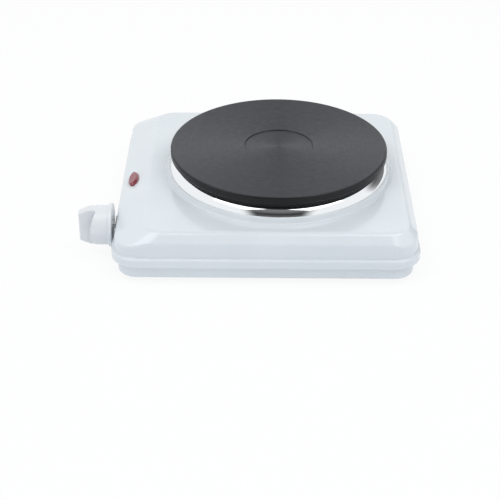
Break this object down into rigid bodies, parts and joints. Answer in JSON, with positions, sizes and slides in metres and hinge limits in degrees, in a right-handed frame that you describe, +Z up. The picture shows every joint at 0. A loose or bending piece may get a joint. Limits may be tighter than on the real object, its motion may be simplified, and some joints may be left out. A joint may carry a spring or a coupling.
{
  "type": "hot plate burner",
  "caption": "Countertop electric hot plate: painted steel case on rubber feet, round cast iron plate in a chrome ring, front control knob and red pilot lens.",
  "frame": {"origin": "on the table, under the middle of the whole object, knob included", "axes": "+X to the right as seen from the front, +Y from the knob towards the rear, +Z up out of the plate"},
  "size_m": [0.2394, 0.28, 0.0658],
  "materials": {
    "case_paint": "glossy stove enamel, cool white",
    "plate_iron": "turned face with a dull black coating",
    "ring_chrome": "mirror polish",
    "knob_plastic": "glossy moulded white",
    "pointer_ink": "dark grey inlay",
    "lens_red": "clear red moulding",
    "foot_rubber": "matt black",
    "gland_plastic": "matt black moulding",
    "bright_sheet": "bright rolled sheet",
    "steel": "zinc plated",
    "brass": "plain turned",
    "insulator": "unglazed, cream",
    "lamp_glass": "clear bulb",
    "lead_brown": "heat-proof sleeve, brown",
    "lead_blue": "heat-proof sleeve, blue",
    "lead_green": "heat-proof sleeve, green",
    "lead_white": "thin heat-proof sleeve, white"
  },
  "bodies": {
    "housing": {"top_housing": "case_paint", "base_tray": "case_paint", "hot_plate": "plate_iron", "trim_ring": "ring_chrome", "pilot_lens": "lens_red", "foot_front_left": "foot_rubber", "foot_front_right": "foot_rubber", "foot_rear_left": "foot_rubber", "foot_rear_right": "foot_rubber", "cord_gland": "gland_plastic", "heat_reflector": "bright_sheet", "corner_posts": "steel", "foot_screws": "steel", "heating_coil": "steel", "plate_terminals": "steel", "plate_cover": "steel", "centre_stud": "steel", "stud_spacer": "steel", "clamp_bridge": "steel", "stud_washer": "steel", "stud_nut": "steel", "thermostat_bracket": "steel", "thermostat_screws": "steel", "pilot_clip": "steel", "terminal_screws": "steel", "block_screws": "steel", "earth_stud": "steel", "earth_nut": "steel", "shaft_bush": "brass", "thermostat_tabs": "brass", "insulating_fill": "insulator", "terminal_beads": "insulator", "thermostat_body": "insulator", "terminal_block": "insulator", "pilot_lamp": "lamp_glass", "live_lead": "lead_brown", "load_lead": "lead_brown", "neutral_lead": "lead_blue", "earth_lead": "lead_green", "lamp_leads": "lead_white"},
    "control": {"knob": "knob_plastic", "knob_pointer": "pointer_ink", "knob_clip": "steel", "thermostat_shaft": "steel"}
  },
  "joints": [
    {"name": "knob_turn", "type": "hinge", "parent": "housing", "child": "control", "pos_m": [0.0702, -0.11205, 0.0267], "axis": [0, 1, 0], "range_deg": [0, 270]}
  ]
}
